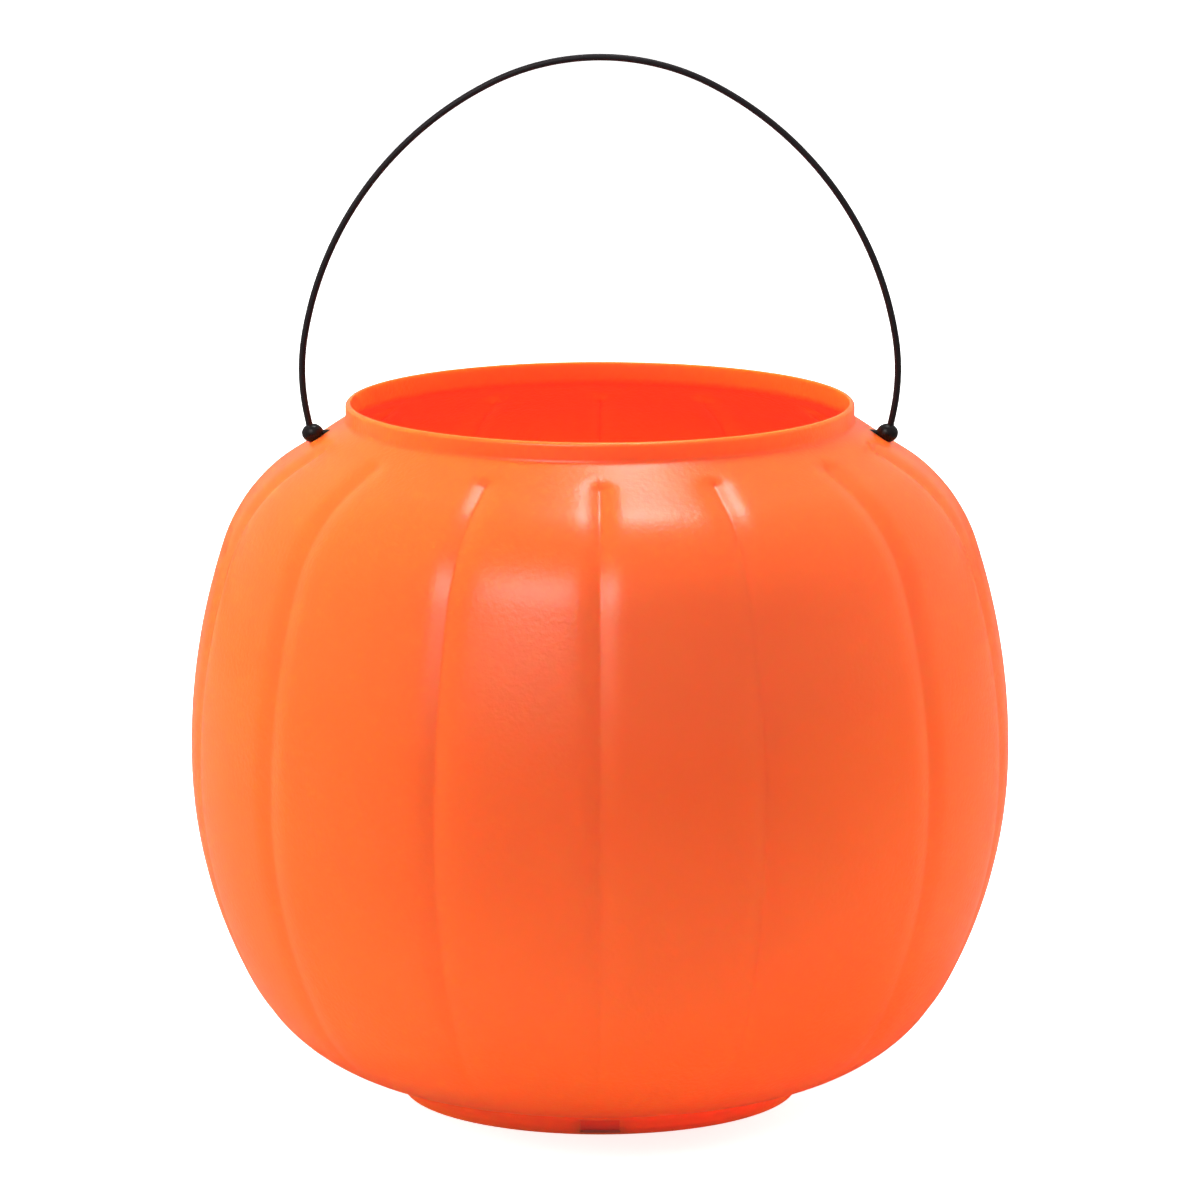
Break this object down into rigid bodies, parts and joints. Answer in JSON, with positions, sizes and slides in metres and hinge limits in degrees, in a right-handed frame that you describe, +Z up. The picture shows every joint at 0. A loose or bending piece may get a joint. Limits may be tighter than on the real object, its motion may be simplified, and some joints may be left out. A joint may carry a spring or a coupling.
{
  "type": "pumpkin candy pail",
  "caption": "Ribbed pumpkin-shaped moulded pail with a short round neck, a hollow foot ring and a wire bail that swings on the shoulder, for carrying or showing sweets.",
  "frame": {"origin": "on the floor under the middle of the foot ring", "axes": "+Z up, the bail's pivots along X, the front of the pail towards -Y"},
  "size_m": [0.216, 0.2156, 0.2763],
  "materials": {
    "orange_polyethylene": "blow-moulded gloss with a slight orange peel",
    "black_wire": "black coated wire, satin",
    "black_bead": "moulded black, satin"
  },
  "bodies": {
    "pail": {"pail_shell": "orange_polyethylene"},
    "bail": {"bail_rod": "black_wire", "right_pivot_bead": "black_bead", "left_pivot_bead": "black_bead"}
  },
  "joints": [
    {"name": "bail_swing", "type": "hinge", "parent": "pail", "child": "bail", "pos_m": [0, 0, 0.17642], "axis": [1, 0, 0], "range_deg": [-97, 97]}
  ]
}
